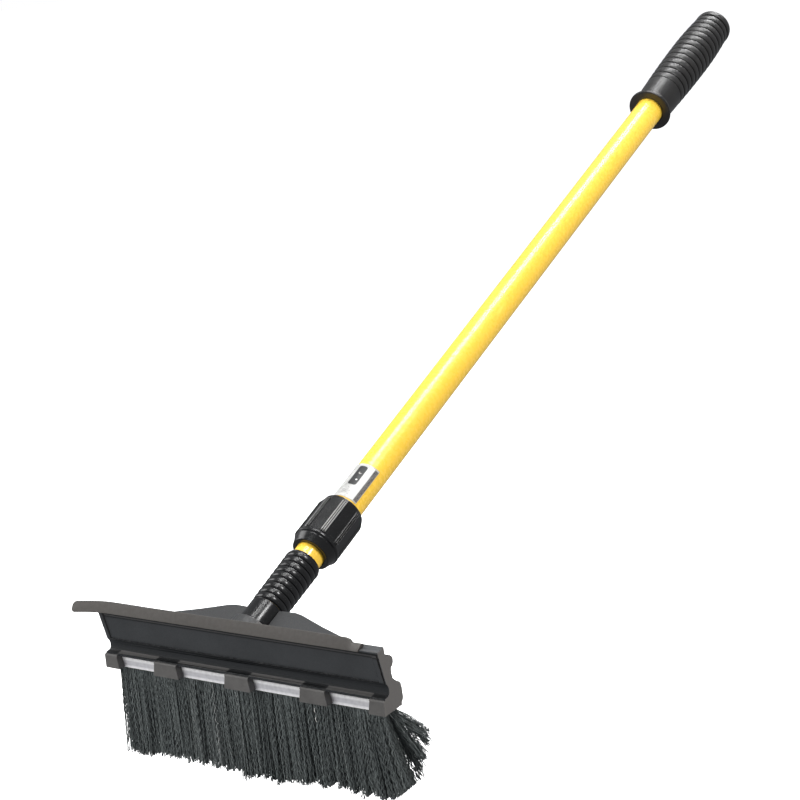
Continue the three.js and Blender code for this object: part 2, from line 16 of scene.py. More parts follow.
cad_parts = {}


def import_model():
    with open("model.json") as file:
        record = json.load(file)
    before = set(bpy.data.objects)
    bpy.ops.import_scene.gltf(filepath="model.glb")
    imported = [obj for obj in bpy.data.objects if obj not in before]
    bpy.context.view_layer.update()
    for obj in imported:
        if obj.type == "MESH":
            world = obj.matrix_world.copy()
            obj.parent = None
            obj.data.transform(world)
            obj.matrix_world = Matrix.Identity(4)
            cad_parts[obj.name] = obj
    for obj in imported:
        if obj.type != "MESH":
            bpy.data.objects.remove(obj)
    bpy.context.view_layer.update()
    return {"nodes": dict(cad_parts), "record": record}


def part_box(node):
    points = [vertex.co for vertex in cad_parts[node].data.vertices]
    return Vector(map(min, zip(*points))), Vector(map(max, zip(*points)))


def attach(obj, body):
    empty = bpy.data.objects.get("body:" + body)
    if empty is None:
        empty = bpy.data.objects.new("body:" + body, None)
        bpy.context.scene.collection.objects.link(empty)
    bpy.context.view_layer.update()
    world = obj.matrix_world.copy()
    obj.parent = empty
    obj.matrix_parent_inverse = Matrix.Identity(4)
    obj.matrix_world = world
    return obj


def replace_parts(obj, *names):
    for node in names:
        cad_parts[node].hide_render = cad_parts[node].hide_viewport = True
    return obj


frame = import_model()

MM = 0.001
record = frame["record"]
mounts = {m["name"]: m for m in record["mounts"]}
AXIS = Vector(mounts["hand_grip"]["axis"]).normalized()
GRIP_STATION = 808.0
BEHIND = AXIS.cross(Vector((1, 0, 0))).normalized()  # square to the pole, in the plane of symmetry
if BEHIND.z < 0:
    BEHIND = -BEHIND

HEAD_FRONT, HEAD_BOTTOM = -2.8, -9.2  # the moulding's lowest y and z in the head's own frame
head_lo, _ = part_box("head_body")
HEAD_ORIGIN = Vector((0.0, head_lo.y - HEAD_FRONT * MM, head_lo.z - HEAD_BOTTOM * MM))


# ---- Meshes ------------------------------------------------------------------------------------


def linked(name, data):
    """A new object in the scene."""
    obj = bpy.data.objects.new(name, data)
    bpy.context.scene.collection.objects.link(obj)
    return obj


def new_object(name, verts, faces, material, smooth_below=35.0):
    """A mesh object from points in metres; edges sharper than the limit stay crisp."""
    mesh = bpy.data.meshes.new(name)
    mesh.from_pydata([tuple(v) for v in verts], [], faces)
    mesh.validate()
    mesh.update()
    mesh.shade_smooth()
    mesh.set_sharp_from_angle(angle=math.radians(smooth_below))
    mesh.materials.append(material)
    return linked(name, mesh)


def pole_point(radius, angle, station):
    """A point round the pole in metres; angle 0 is +X and 90 degrees is the pole's upper side."""
    centre = AXIS * ((station - GRIP_STATION) * MM)
    across = Vector((1, 0, 0)) * math.cos(angle) + BEHIND * math.sin(angle)
    return centre + across * (radius * MM)


def round_pole(vertex):
    """The vertex's station, its distance from the pole's axis, and its angle."""
    along = vertex.co.dot(AXIS)
    radius = (vertex.co - AXIS * along).length / MM
    return along / MM + GRIP_STATION, radius, math.atan2(vertex.co.dot(BEHIND), vertex.co.x)


def head_point(x, y, z):
    return HEAD_ORIGIN + Vector((x, y, z)) * MM


def set_attribute(obj, name, value_at):
    """A number for each vertex, which a material reads by its name."""
    attribute = obj.data.attributes.new(name, "FLOAT", "POINT")
    for vertex in obj.data.vertices:
        attribute.data[vertex.index].value = value_at(*round_pole(vertex))


def filleted(points, radius, steps=4):
    """The outline with each inner corner rounded, as far as its neighbours leave room."""
    out = [points[0]]
    for before, corner, after in zip(points, points[1:], points[2:]):
        p = Vector(corner)
        to_before = Vector(before) - p
        to_after = Vector(after) - p
        reach = min(radius, 0.45 * to_before.length, 0.45 * to_after.length)
        start = p + to_before.normalized() * reach
        end = p + to_after.normalized() * reach
        for i in range(steps + 1):
            t = i / steps
            q = start * (1 - t) ** 2 + p * (2 * t * (1 - t)) + end * t**2
            out.append((q.x, q.y))
    out.append(points[-1])
    return out


def turned(name, outline, material, sides=112, radius_at=None, closed=True, smooth_below=35.0):
    """An outline of (radius, station) turned about the pole. A radius of zero closes an end."""
    rings = []
    verts = []
    for r, s in outline:
        if r <= 1e-6:
            rings.append([len(verts)])
            verts.append(pole_point(0.0, 0.0, s))
            continue
        ring = []
        for k in range(sides):
            a = 2 * math.pi * k / sides
            rr = radius_at(r, a, s) if radius_at else r
            ring.append(len(verts))
            verts.append(pole_point(rr, a, s))
        rings.append(ring)
    pairs = list(zip(rings, rings[1:]))
    if closed and len(rings[0]) > 1:
        pairs.append((rings[-1], rings[0]))
    faces = []
    for a, b in pairs:
        if len(a) == 1 and len(b) == 1:
            continue
        for k in range(sides):
            k2 = (k + 1) % sides
            if len(a) == 1:
                faces.append((a[0], b[k2], b[k]))
            elif len(b) == 1:
                faces.append((a[k], a[k2], b[0]))
            else:
                faces.append((a[k], a[k2], b[k2], b[k]))
    obj = new_object(name, verts, faces, material, smooth_below)
    outward(obj)
    return obj


def outward(obj, close=False):
    """Turns the faces of a mesh outward, after joining its two open ends if asked to."""
    mesh = bmesh.new()
    mesh.from_mesh(obj.data)
    if close:
        bmesh.ops.bridge_loops(mesh, edges=[e for e in mesh.edges if e.is_boundary])
    bmesh.ops.recalc_face_normals(mesh, faces=mesh.faces)
    mesh.to_mesh(obj.data)
    mesh.free()


def softened(obj, width):
    """Rounds the hard edges of a faceted solid."""
    merge = obj.modifiers.new("flat_faces", "DECIMATE")
    merge.decimate_type = "DISSOLVE"
    merge.angle_limit = math.radians(1.0)
    bevel = obj.modifiers.new("edges", "BEVEL")
    bevel.width = width * MM
    bevel.segments = 2
    bevel.limit_method = "ANGLE"
    bevel.angle_limit = math.radians(28.0)
    normals = obj.modifiers.new("normals", "WEIGHTED_NORMAL")
    normals.keep_sharp = True
    obj.data.shade_smooth()


# ---- Materials ---------------------------------------------------------------------------------


class Paint:
    """A node material under construction."""

    def __init__(self, name):
        self.material = bpy.data.materials.new(name)
        self.material.use_nodes = True
        self.tree = self.material.node_tree
        self.nodes = self.tree.nodes
        self.nodes.clear()
        out = self.nodes.new("ShaderNodeOutputMaterial")
        self.bsdf = self.nodes.new("ShaderNodeBsdfPrincipled")
        self.link(self.bsdf.outputs["BSDF"], out.inputs["Surface"])

    def link(self, a, b):
        self.tree.links.new(a, b)

    def set(self, **values):
        for key, value in values.items():
            self.assign(self.bsdf.inputs[key.replace("_", " ")], value)

    def assign(self, socket, value):
        if hasattr(value, "is_output"):
            self.link(value, socket)
        elif socket.type == "RGBA":
            socket.default_value = (*value[:3], 1.0)
        else:
            socket.default_value = value

    def place(self, scale=(1, 1, 1)):
        coord = self.nodes.new("ShaderNodeTexCoord")
        mapping = self.nodes.new("ShaderNodeMapping")
        mapping.inputs["Scale"].default_value = scale
        self.link(coord.outputs["Object"], mapping.inputs["Vector"])
        return mapping.outputs["Vector"]

    def separate(self, vector):
        node = self.nodes.new("ShaderNodeSeparateXYZ")
        self.link(vector, node.inputs[0])
        return node.outputs

    def attribute(self, name):
        node = self.nodes.new("ShaderNodeAttribute")
        node.attribute_name = name
        return node.outputs["Fac"]

    def noise(self, scale, detail=3.0, roughness=0.55, stretch=(1, 1, 1)):
        node = self.nodes.new("ShaderNodeTexNoise")
        node.inputs["Scale"].default_value = scale
        node.inputs["Detail"].default_value = detail
        node.inputs["Roughness"].default_value = roughness
        self.link(self.place(stretch), node.inputs["Vector"])
        return node.outputs["Fac"]

    def cells(self, scale):
        node = self.nodes.new("ShaderNodeTexVoronoi")
        node.inputs["Scale"].default_value = scale
        self.link(self.place(), node.inputs["Vector"])
        return node.outputs["Distance"]

    def ramp(self, value, stops):
        node = self.nodes.new("ShaderNodeValToRGB")
        while len(node.color_ramp.elements) < len(stops):
            node.color_ramp.elements.new(0.5)
        for element, (at, colour) in zip(node.color_ramp.elements, stops):
            element.position = at
            element.color = (*colour, 1.0)
        self.link(value, node.inputs["Fac"])
        return node.outputs["Color"]

    def spread(self, value, low, high, from_low=0.3, from_high=0.7):
        """The value's range mapped to another one, and clamped to it."""
        node = self.nodes.new("ShaderNodeMapRange")
        node.inputs["From Min"].default_value = from_low
        node.inputs["From Max"].default_value = from_high
        node.inputs["To Min"].default_value = low
        node.inputs["To Max"].default_value = high
        self.link(value, node.inputs["Value"])
        return node.outputs["Result"]

    def mix(self, fac, a, b):
        node = self.nodes.new("ShaderNodeMix")
        node.data_type = "RGBA"
        self.assign(node.inputs[0], fac)
        colours = [s for s in node.inputs if s.type == "RGBA"]
        self.assign(colours[0], a)
        self.assign(colours[1], b)
        return next(s for s in node.outputs if s.type == "RGBA")

    def math(self, operation, a, b=0.0):
        node = self.nodes.new("ShaderNodeMath")
        node.operation = operation
        self.assign(node.inputs[0], a)
        self.assign(node.inputs[1], b)
        return node.outputs[0]

    def times(self, *values):
        product = values[0]
        for value in values[1:]:
            product = self.math("MULTIPLY", product, value)
        return product

    def between(self, value, low, high):
        return self.times(self.math("GREATER_THAN", value, low), self.math("LESS_THAN", value, high))

    def bump(self, height, strength, distance):
        node = self.nodes.new("ShaderNodeBump")
        node.inputs["Strength"].default_value = strength
        node.inputs["Distance"].default_value = distance * MM
        self.link(height, node.inputs["Height"])
        if self.bsdf.inputs["Normal"].is_linked:
            self.link(self.bsdf.inputs["Normal"].links[0].from_socket, node.inputs["Normal"])
        self.link(node.outputs["Normal"], self.bsdf.inputs["Normal"])

    def worn_edges(self, colour, wear, radius):
        """The colour, going over to the worn one along convex edges, broken up by noise."""
        bevel = self.nodes.new("ShaderNodeBevel")
        bevel.inputs["Radius"].default_value = radius * MM
        geometry = self.nodes.new("ShaderNodeNewGeometry")
        dot = self.nodes.new("ShaderNodeVectorMath")
        dot.operation = "DOT_PRODUCT"
        self.link(bevel.outputs["Normal"], dot.inputs[0])
        self.link(geometry.outputs["Normal"], dot.inputs[1])
        edge = self.spread(dot.outputs["Value"], 1.0, 0.0, 0.8, 0.98)
        broken = self.times(edge, self.spread(self.noise(240, 4), 0.1, 1.0, 0.42, 0.62))
        return self.mix(broken, colour, wear)


def grey(v, warm=0.0):
    return (v * (1 + warm), v, v * (1 - warm))


def head_plastic(name):
    """The moulding's matte black, worn paler along its edges, with painted light on the tabs, on both end
    faces, on a rim under the blade and on the ledge over the windows, and painted shade in the cove, on
    upward faces toward the rear of the head, and in lines under the blade and beside the upright rib.
    """
    p = Paint(name)
    coord = p.nodes.new("ShaderNodeTexCoord")
    x, y, z = p.separate(coord.outputs["Object"])
    facing = p.separate(coord.outputs["Normal"])
    upward = p.spread(facing[2], 0.0, 1.0, 0.0, 0.75)
    ends = p.spread(p.math("ABSOLUTE", facing[0]), 0.0, 1.0, 0.6, 0.9)
    along = p.times(p.math("ABSOLUTE", x), 1 / MM)

    def before(depth):
        return p.math("LESS_THAN", y, head_point(0, depth, 0).y)

    def below(height):
        return p.math("LESS_THAN", z, head_point(0, 0, height).z)

    def level(low, high):
        return p.between(z, head_point(0, 0, low).z, head_point(0, 0, high).z)

    # The tabs are at the middle, at both ends, and halfway between.
    tabs = p.times(below(1.6), before(-0.7))
    over_tab = p.math("MAXIMUM", p.math("LESS_THAN", along, 10.5), p.math("GREATER_THAN", along, 117.6))
    off_pitch = p.math("ABSOLUTE", p.math("SUBTRACT", along, 68.5))
    over_tab = p.math("MAXIMUM", over_tab, p.math("LESS_THAN", off_pitch, 10.5))

    # The cove under the panel is painted in shade, down to the ledge over the windows, which is painted pale
    # as painted light.
    cove = p.spread(z, 1.0, 0.0, head_point(0, 0, 11.2).z, head_point(0, 0, 12.6).z)
    cove = p.times(cove, before(6.4), p.math("SUBTRACT", 1.0, tabs))
    ledge = p.times(below(3.0), cove, p.math("GREATER_THAN", facing[2], 0.5))
    over_window = p.times(p.math("SUBTRACT", 1.0, over_tab), ledge)

    # Two painted shadow lines run under the blade with a rim between them that is painted pale as painted
    # light, and a painted shadow line runs down each side of the upright rib.
    on_panel = p.times(before(4.0), p.math("GREATER_THAN", x, -126 * MM))
    rim = p.times(level(31.1, 32.7), on_panel)
    beside_rib = p.math("MAXIMUM", p.between(along, 122.7, 124.0), p.between(along, 127.3, 129.0))
    beside_rib = p.times(beside_rib, p.math("GREATER_THAN", x, 0.0), level(14.0, 31.0))
    shadow_lines = p.math("MAXIMUM", level(30.2, 31.1), level(32.7, 34.2))
    shadow_lines = p.times(p.math("MAXIMUM", shadow_lines, beside_rib), on_panel)

    base = p.mix(p.spread(p.noise(38, 5, 0.6), 0, 1), grey(0.032, -0.06), grey(0.041, -0.06))
    # Faces looking up toward the rear of the head are painted darker: painted shade.
    behind = p.math("GREATER_THAN", y, head_point(0, 6.6, 0).y)
    base = p.mix(p.times(upward, behind, 0.8), base, grey(0.015, -0.04))
    # Painted shade in the cove, darkest where it looks up.
    base = p.mix(cove, base, p.mix(upward, grey(0.019, -0.08), grey(0.006, -0.08)))
    # Painted light on the ledge over the windows.
    base = p.mix(over_window, base, grey(0.065, 0.03))
    # The rim is painted paler: painted light.
    base = p.mix(rim, base, grey(0.05))
    # Painted shadow lines under the blade and beside the rib.
    base = p.mix(shadow_lines, base, grey(0.004, -0.05))
    # The tabs are painted paler: painted light.
    tab_light = p.mix(p.spread(p.noise(120, 5, 0.7), 0, 1), grey(0.066, 0.04), grey(0.09, 0.04))
    base = p.mix(tabs, base, tab_light)
    # The faces toward the ends are painted paler still: painted light.
    base = p.mix(p.times(ends, 0.9), base, grey(0.125, 0.04))
    base = p.worn_edges(base, grey(0.11, 0.01), 0.5)
    p.set(Base_Color=base, Roughness=p.spread(p.noise(900, 2), 0.46, 0.6))
    p.bump(p.noise(2600, 2, 0.6), 0.35, 0.05)
    p.bump(p.noise(60, 3), 0.25, 0.12)
    return p.material


def gloss_black(name, wear_and_glint=None):
    """Gloss black plastic, painted grey where the named attribute of the mesh says so, which holds wear and
    a painted highlight.
    """
    p = Paint(name)
    base = p.mix(p.spread(p.noise(55, 4), 0, 1), grey(0.005, -0.04), grey(0.008, -0.04))
    if wear_and_glint:
        base = p.mix(p.attribute(wear_and_glint), base, grey(0.3, 0.02))
    p.set(Base_Color=base, Roughness=p.spread(p.noise(160, 5, 0.65), 0.2, 0.27))
    p.bump(p.noise(900, 2), 0.03, 0.02)
    return p.material


def yellow_paint(name):
    """Gloss powder coat with a slight orange-peel and the odd faint rub."""
    p = Paint(name)
    tone = p.spread(p.noise(9, 4, 0.6, stretch=(1, 0.35, 0.35)), 0, 1)
    base = p.mix(tone, (0.95, 0.6, 0.055), (0.97, 0.64, 0.07))
    rub = p.spread(p.noise(70, 6, 0.7, stretch=(3.0, 0.25, 0.25)), 0, 1, 0.63, 0.74)
    base = p.mix(rub, base, (0.95, 0.7, 0.1))
    p.set(
        Base_Color=base,
        Roughness=p.spread(p.noise(240, 4), 0.22, 0.32),
        Specular_IOR_Level=0.55,
        Coat_Weight=0.7,
        Coat_Roughness=0.16,
    )
    p.bump(p.noise(520, 2, 0.5), 0.10, 0.06)
    return p.material


def rubber(name, dark, light, warm=0.03):
    """Matte rubber with a chalky bloom and rubbed streaks along its length."""
    p = Paint(name)
    bloom = p.spread(p.noise(26, 6, 0.7, stretch=(0.35, 1, 1)), 0, 1)
    base = p.mix(bloom, grey(dark, warm), grey(light, warm))
    base = p.worn_edges(base, grey(light * 1.5, warm), 0.4)
    p.set(Base_Color=base, Roughness=p.spread(p.noise(300, 4), 0.62, 0.8))
    p.bump(p.noise(1500, 3, 0.6), 0.3, 0.05)
    return p.material


def grip_vinyl(name):
    """Vinyl with a sheen; painted shade darkens its grooves and turns down their sheen, where the mesh's own
    attribute says.
    """
    p = Paint(name)
    base = p.mix(p.spread(p.noise(60, 5, 0.65), 0, 1), grey(0.010, 0.03), grey(0.016, 0.03))
    # The grooves are painted near black and lose their sheen: painted shade.
    deep = p.attribute("deep")
    shine = p.spread(deep, 0.62, 0.05, 0.0, 1.0)
    p.set(
        Base_Color=p.mix(deep, base, grey(0.002)),
        Roughness=p.spread(p.noise(320, 4), 0.31, 0.38),
        Specular_IOR_Level=shine,
    )
    p.bump(p.noise(1300, 3), 0.2, 0.03)
    return p.material


def bare_metal(name, colour, roughness, along=(1, 1, 1), metallic=0.95, painted_bands=False):
    """Rolled or plated metal: fine draw lines, spangle patches, and on the strip painted highlights along
    its top and bottom edges with painted shade between them.
    """
    p = Paint(name)
    lines = p.noise(1400, 3, 0.6, stretch=along)
    base = p.mix(p.spread(p.cells(330), 0, 1, 0.1, 0.7), tuple(c * 0.88 for c in colour), colour)
    if painted_bands:
        # Painted highlights along the strip's top and bottom edges, with painted shade across its middle.
        z = p.separate(p.place())[2]
        height = p.spread(z, 0.0, 1.0, head_point(0, 0, -9.8).z, head_point(0, 0, -1.9).z)
        shade = p.ramp(height, [(0.0, (1, 1, 1)), (0.2, (0.86, 0.86, 0.87)), (0.3, (0.62, 0.62, 0.64)),
                                (0.62, (0.66, 0.66, 0.68)), (0.8, (1, 1, 1))])
        band_light = p.nodes.new("ShaderNodeVectorMath")
        band_light.operation = "MULTIPLY"
        p.link(base, band_light.inputs[0])
        p.link(shade, band_light.inputs[1])
        base = band_light.outputs[0]
    p.set(
        Base_Color=base,
        Metallic=metallic,
        Roughness=p.spread(lines, roughness - 0.08, roughness + 0.12),
    )
    p.bump(lines, 0.3, 0.05)
    return p.material


def nylon(name):
    p = Paint(name)
    base = p.mix(p.spread(p.noise(90, 4), 0, 1), (0.62, 0.6, 0.52), (0.72, 0.7, 0.63))
    p.set(Base_Color=base, Roughness=0.42, Subsurface_Weight=0.15, Subsurface_Scale=0.002)
    p.bump(p.noise(700, 3), 0.2, 0.05)
    return p.material


def filaments(name):
    """Crimped black filaments; each one has its own tone, carried by the mesh, which differs at random and
    holds painted shade toward the head's right end.
    """
    p = Paint(name)
    speck = p.spread(p.noise(900, 3), -0.1, 0.1)
    level = p.math("ADD", p.attribute("tone"), speck)
    base = p.ramp(level, [(0.0, (0.035, 0.041, 0.041)), (0.5, (0.105, 0.118, 0.116)),
                          (0.85, (0.2, 0.215, 0.21)), (1.0, (0.6, 0.57, 0.54))])
    p.set(Base_Color=base, Roughness=p.spread(p.noise(500, 3), 0.42, 0.6))
    p.bump(p.noise(3000, 2), 0.2, 0.03)
    return p.material


def label_foil(name):
    """Silver foil printed with plain generic shapes, placed by the label's own coordinates."""
    p = Paint(name)
    around_mm, along_mm = 39.5, 40.0  # the print's scale
    coord = p.nodes.new("ShaderNodeTexCoord")
    u, v, _ = p.separate(coord.outputs["UV"])

    def block(u0, u1, v0, v1):
        return p.times(p.between(u, u0, u1), p.between(v, v0, v1))

    def within(du, dv, radius):
        du, dv = p.times(du, around_mm), p.times(dv, along_mm)
        return p.math("LESS_THAN", p.math("ADD", p.times(du, du), p.times(dv, dv)), radius * radius)

    def disc(at_u, at_v, radius):
        return within(p.math("SUBTRACT", u, at_u), p.math("SUBTRACT", v, at_v), radius)

    def past(value, low, high, radius, scale):
        """How far the value lies beyond a span that is shortened by the radius at both ends."""
        off_middle = p.math("ABSOLUTE", p.math("SUBTRACT", value, (low + high) / 2))
        return p.math("MAXIMUM", p.math("SUBTRACT", off_middle, (high - low) / 2 - radius / scale), 0.0)

    def rounded_block(u0, u1, v0, v1, radius):
        du = past(u, u0, u1, radius, around_mm)
        return within(du, past(v, v0, v1, radius, along_mm), radius)

    def rows(value, frequency, above):
        return p.math("GREATER_THAN", p.math("SINE", p.times(value, frequency)), above)

    black = (0.014, 0.0145, 0.015)
    foil = p.mix(p.spread(p.noise(240, 5, 0.7), 0, 1, 0.35, 0.65), (0.3, 0.3, 0.29), (0.5, 0.5, 0.49))
    fine_rows = p.times(rows(u, 500.0, 0.35), p.math("GREATER_THAN", p.noise(900, 1), 0.42))
    fine = p.mix(fine_rows, (0.03, 0.028, 0.028), (0.3, 0.29, 0.28))
    small_rows = p.times(rows(v, 260.0, 0.2), p.math("GREATER_THAN", p.noise(1400, 1), 0.5))
    prints = [
        (p.times(block(0.24, 0.42, 0.08, 0.3), small_rows), (0.09, 0.09, 0.09)),
        (rounded_block(0.232, 0.42, 0.36, 0.93, 2.2), black),
        (disc(0.29, 0.52, 0.75), (0.75, 0.75, 0.72)),
        (disc(0.31, 0.72, 1.3), (0.32, 0.31, 0.29)),
        (disc(0.30, 0.735, 0.9), black),
        (block(0.10, 0.215, 0.02, 0.98), (0.62, 0.62, 0.61)),
        (block(0.008, 0.092, 0.03, 0.96), fine),
    ]
    colour = foil
    for place, ink in prints:
        colour = p.mix(place, colour, ink)
    p.set(Base_Color=colour, Roughness=p.spread(p.noise(300, 3), 0.45, 0.6), Metallic=0.1)
    p.bump(p.noise(160, 3), 0.15, 0.05)
    return p.material


HEAD_PLASTIC = head_plastic("head_plastic")
GLOSS = gloss_black("gloss_black_plastic")
COLLAR_GLOSS = gloss_black("collar_plastic", wear_and_glint="wear_and_glint")
YELLOW = yellow_paint("yellow_powder_coat")
BLADE = rubber("blade_rubber", 0.04, 0.05, warm=0.09)
VINYL = grip_vinyl("grip_vinyl")
SEAL = rubber("guide_rubber", 0.02, 0.035)
ZINC = bare_metal("galvanised_strip", (0.98, 0.97, 0.97), 0.42, along=(0.04, 1, 1), metallic=0.35,
                  painted_bands=True)
SCREW_STEEL = bare_metal("plated_steel", (0.5, 0.51, 0.52), 0.3)
NYLON = nylon("natural_nylon")
BRISTLE = filaments("crimped_filament")
FOIL = label_foil("label_foil")


# ---- Pole --------------------------------------------------------------------------------------


OUTER_TUBE_R, INNER_TUBE_R, WALL = 12.7, 11.3, 0.9
OUTER_TUBE = (123.6, 880.0)
INNER_TUBE = (22.0, 700.0)
SOCKET_BORE = 11.6  # the sleeve's too


def make_tube(name, radius, start, end, body, node):
    edge, steps = 0.3, 8
    bore = radius - WALL
    outline = [(bore, start + edge), (bore + edge, start), (radius - edge, start), (radius, start + edge)]
    outline += [(radius, start + edge + (end - start - 2 * edge) * i / steps) for i in range(1, steps + 1)]
    outline += [(radius - edge, end), (bore + edge, end), (bore, end - edge)]
    obj = turned(name, outline, YELLOW, sides=128)
    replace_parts(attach(obj, body), node)


def ribs(count, start, end, radius_at, depth, fullness, steps=12):
    """An outline of rounded ribs with narrow grooves between them; less fullness squares them."""
    pitch = (end - start) / count
    outline = []
    for i in range(count):
        for k in range(steps):
            t = k / steps
            s = start + (i + t) * pitch
            swell = max(0.0, math.sin(math.pi * t)) ** fullness
            outline.append((radius_at(s) - depth * (1 - swell), s))
    outline.append((radius_at(end) - depth, end))
    return outline


def make_sleeve():
    start, end = 50.9, 100.3

    def radius_at(s):
        return 13.4 + 0.6 * (s - start) / (end - start)

    outline = [(SOCKET_BORE, start), (radius_at(start) - 1.2, start)]
    outline += ribs(9, start + 0.4, end - 0.8, radius_at, depth=1.1, fullness=0.34)
    outline += [(radius_at(end) - 0.9, end), (SOCKET_BORE, end)]
    obj = turned("ribbed_sleeve_skin", outline, GLOSS)
    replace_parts(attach(obj, "brush"), "ribbed_sleeve")


def make_socket():
    start, floor, end, radius = 19.0, 21.7, 50.5, 13.1
    outline = filleted([
        (0, start), (radius, start), (radius, end), (SOCKET_BORE, end), (SOCKET_BORE, floor), (0, floor),
    ], 0.7)
    obj = turned("pole_socket_skin", outline, GLOSS)
    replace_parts(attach(obj, "brush"), "pole_socket")


COLLAR_START, COLLAR_END, COLLAR_R = 109.5, 157.1, 18.5
BAND_END = COLLAR_START + 11.2
FACETS = 8
FACET_PITCH = 2 * math.pi / FACETS
FIRST_RIDGES = math.radians(52.7)
RIDGE_PITCH = 0.085


def collar_radius(r, angle, station):
    """Wide flats between groups of three fine ridges, from the band to the top."""
    if r < 15.3 or station < BAND_END - 1.4:
        return r
    half_facet, half_group = FACET_PITCH / 2, 1.5 * RIDGE_PITCH
    from_ridge = abs((angle - FIRST_RIDGES + half_facet) % FACET_PITCH - half_facet)
    corner = COLLAR_R - 1.05
    if from_ridge > half_group:
        fluted = corner * math.cos(half_facet - half_group) / math.cos(half_facet - from_ridge)
    else:
        phase = (from_ridge / RIDGE_PITCH + 0.5) % 1.0 - 0.5
        fluted = corner - 0.2 + 1.25 * max(0.0, math.cos(math.pi * phase)) ** 0.8
    return min(r, fluted)


def collar_wear_and_glint(station, radius, angle):
    """The ridges' tops are painted paler: a little on every group as wear, and fully on the group that faces
    the front as a painted highlight.
    """
    if not BAND_END + 0.5 < station < COLLAR_END - 3.5:
        return 0.0
    # The front group gets a painted highlight; the other groups show only wear.
    wear_and_glint_share = 1.0 if abs(angle - FIRST_RIDGES) < 0.3 else 0.08
    return wear_and_glint_share * min(1.0, max(0.0, (radius - 17.7) / 0.6))


def make_collar():
    """A tapered foot, a band with a groove in it, the flutes, and a bore over the collet."""
    taper = filleted([
        (12.0, COLLAR_START), (15.1, COLLAR_START), (15.7, COLLAR_START + 2), (17.3, COLLAR_START + 6.4),
        (17.3, COLLAR_START + 6.9), (COLLAR_R, COLLAR_START + 8),
        (COLLAR_R, BAND_END - 1.6), (COLLAR_R - 0.7, BAND_END - 1.0), (COLLAR_R, BAND_END - 0.4),
        (COLLAR_R, COLLAR_END - 5), (16.4, COLLAR_END), (15.2, COLLAR_END),
    ], 0.5)
    outline = []
    for (r0, s0), (r1, s1) in zip(taper, taper[1:]):
        n = max(1, int(abs(s1 - s0) / 2.0))
        outline += [(r0 + (r1 - r0) * i / n, s0 + (s1 - s0) * i / n) for i in range(n)]
    outline.append(taper[-1])
    outline += [(15.2, COLLAR_START + 9.1), (14.6, COLLAR_START + 9.1), (14.6, COLLAR_START + 3.1),
                (11.9, COLLAR_START + 3.1), (11.9, COLLAR_START + 0.2)]
    obj = turned("lock_collar_skin", outline, COLLAR_GLOSS, 384, collar_radius, smooth_below=24)
    set_attribute(obj, "wear_and_glint", collar_wear_and_glint)
    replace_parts(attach(obj, "collar"), "lock_collar")


def make_label():
    """A thin curved sheet round the tube, with its own coordinates for the print."""
    start, end = 160.6, 197.0
    low, high = math.radians(23.4), math.radians(192)
    around, along = 72, 12
    verts, faces, uvs = [], [], []
    for clear in (0.5, 0.22):
        for i in range(along + 1):
            for k in range(around + 1):
                angle = low + (high - low) * k / around
                verts.append(pole_point(OUTER_TUBE_R + clear, angle, start + (end - start) * i / along))
                uvs.append((k / around, i / along))
    row, size = around + 1, (around + 1) * (along + 1)
    for i in range(along):
        for k in range(around):
            a = i * row + k
            faces.append((a, a + 1, a + row + 1, a + row))
            faces.append((a + size, a + row + size, a + row + 1 + size, a + 1 + size))
    for i in range(along):
        for k in (0, around):
            a = i * row + k
            faces.append((a, a + row, a + row + size, a + size))
    for k in range(around):
        for i in (0, along):
            a = i * row + k
            faces.append((a, a + size, a + 1 + size, a + 1))
    obj = new_object("label_skin", verts, faces, FOIL)
    outward(obj)
    layer = obj.data.uv_layers.new(name="label")
    for loop in obj.data.loops:
        layer.data[loop.index].uv = uvs[loop.vertex_index]
    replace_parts(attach(obj, "handle"), "label")


GRIP_START, GRIP_NECK, GRIP_CAP, GRIP_END = 728.0, 760.5, 880.0, 892.0


def grip_radius(s):
    """The grip swells toward the hand's palm and falls a little toward its cap."""
    share = (s - GRIP_START) / (GRIP_END - GRIP_START)
    swell = math.sin(math.pi * min(1.0, 0.5 * share / 0.62))
    fall = max(0.0, (share - 0.62) / 0.38)
    return 17.0 + 3.0 * swell - 2.2 * fall * fall


def grip_depth(station, radius, _angle):
    """One in the grooves between the ribs, nought on the ribs and elsewhere."""
    if not (GRIP_NECK - 0.5 < station < GRIP_CAP + 0.4 and radius > 14):
        return 0.0
    return min(1.0, max(0.0, (grip_radius(station) - radius - 0.25) / 0.8))


def make_grip():
    start, neck, cap, end = GRIP_START, GRIP_NECK, GRIP_CAP, GRIP_END
    bore, floor = 13.0, 882.5
    outline = filleted([
        (bore, start + 0.4), (bore + 0.4, start), (20.6, start), (20.6, start + 2.6), (17.8, start + 5),
        (17.1, start + 8), (17.9, neck - 12), (grip_radius(neck) - 0.2, neck - 0.6),
    ], 1.1)
    outline += ribs(14, neck, cap, grip_radius, depth=1.6, fullness=0.36, steps=16)
    outline += filleted([
        (16.8, cap + 0.2), (18.0, cap + 0.9), (18.1, cap + 4), (17.5, end - 4.4), (14.0, end - 1.6),
        (6.8, end), (0, end),
    ], 1.2)
    outline += [(0, floor), (bore, floor)]
    obj = turned("hand_grip_skin", outline, VINYL, closed=False)
    set_attribute(obj, "deep", grip_depth)
    outward(obj, close=True)
    obj.data.shade_smooth()
    obj.data.set_sharp_from_angle(angle=math.radians(35))
    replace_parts(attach(obj, "handle"), "hand_grip")


# ---- Blade -------------------------------------------------------------------------------------


